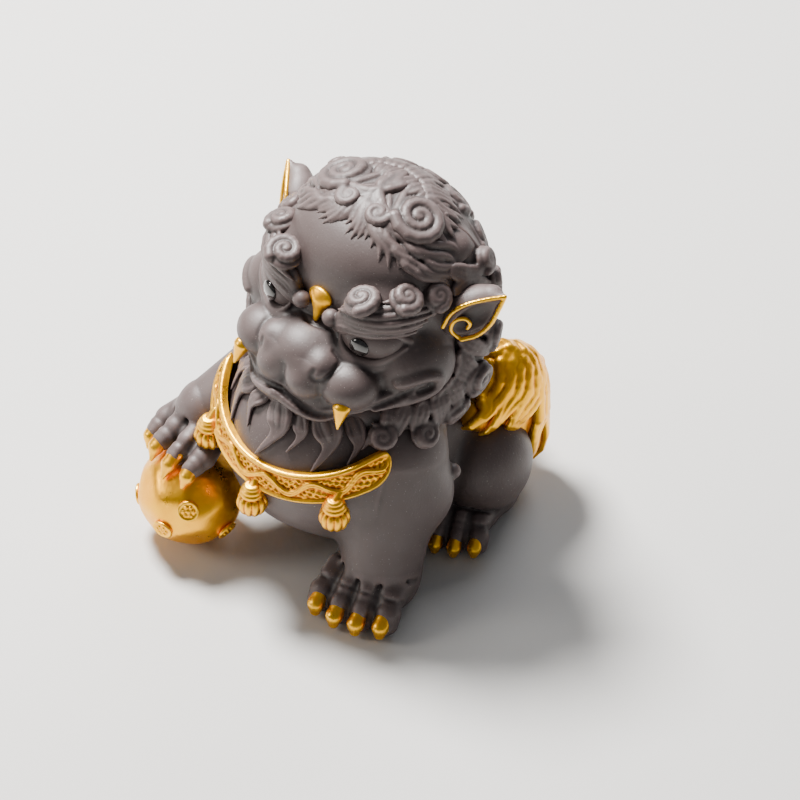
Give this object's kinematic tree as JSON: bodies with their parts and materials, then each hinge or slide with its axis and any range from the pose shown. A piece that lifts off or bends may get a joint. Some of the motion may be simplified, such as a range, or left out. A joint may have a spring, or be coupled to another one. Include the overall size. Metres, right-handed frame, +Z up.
{
  "type": "tea pet figurine",
  "caption": "Seated guardian-lion tea pet in dark unglazed clay, one forepaw on a ball, with gilded collar, bells, claws and tail.",
  "frame": {"origin": "on the flat underside of the body, midway between the lion's left and right, on the plane that it stands on", "axes": "+Z up, the lion faces -Y, and its left side is +X"},
  "size_m": [0.0745, 0.089, 0.1032],
  "materials": {
    "clay": "fine unglazed clay, smooth matt with a soft sheen",
    "gilding": "satin gold paint over clay, darker in the recesses",
    "pupil_glaze": "glossy black glaze"
  },
  "bodies": {
    "root": {"torso": "clay", "haunch_left": "clay", "haunch_right": "clay", "hind_paw_left": "clay", "hind_paw_right": "clay", "foreleg_left": "clay", "foreleg_right": "clay", "forepaw_left": "clay", "forepaw_right": "clay", "claws_fore_left": "gilding", "claws_fore_right": "gilding", "claws_hind_left": "gilding", "claws_hind_right": "gilding", "head_shell": "clay", "lower_jaw": "clay", "lip_left": "clay", "lip_right": "clay", "nose": "clay", "cheek_left": "clay", "cheek_right": "clay", "brow_left": "clay", "brow_right": "clay", "brow_jewel": "gilding", "eyeball_left": "clay", "eyeball_right": "clay", "eyelid_left": "clay", "eyelid_right": "clay", "pupil_left": "pupil_glaze", "pupil_right": "pupil_glaze", "ear_left": "clay", "ear_right": "clay", "ear_rim_left": "gilding", "ear_rim_right": "gilding", "fangs": "gilding", "crown_curl": "clay", "fringe": "clay", "side_mane_left": "clay", "side_mane_right": "clay", "back_mane": "clay", "beard": "clay", "collar": "gilding", "bell_left": "gilding", "bell_centre": "gilding", "bell_right": "gilding", "ball": "gilding", "ball_bosses": "gilding", "tail": "gilding"}
  },
  "joints": []
}
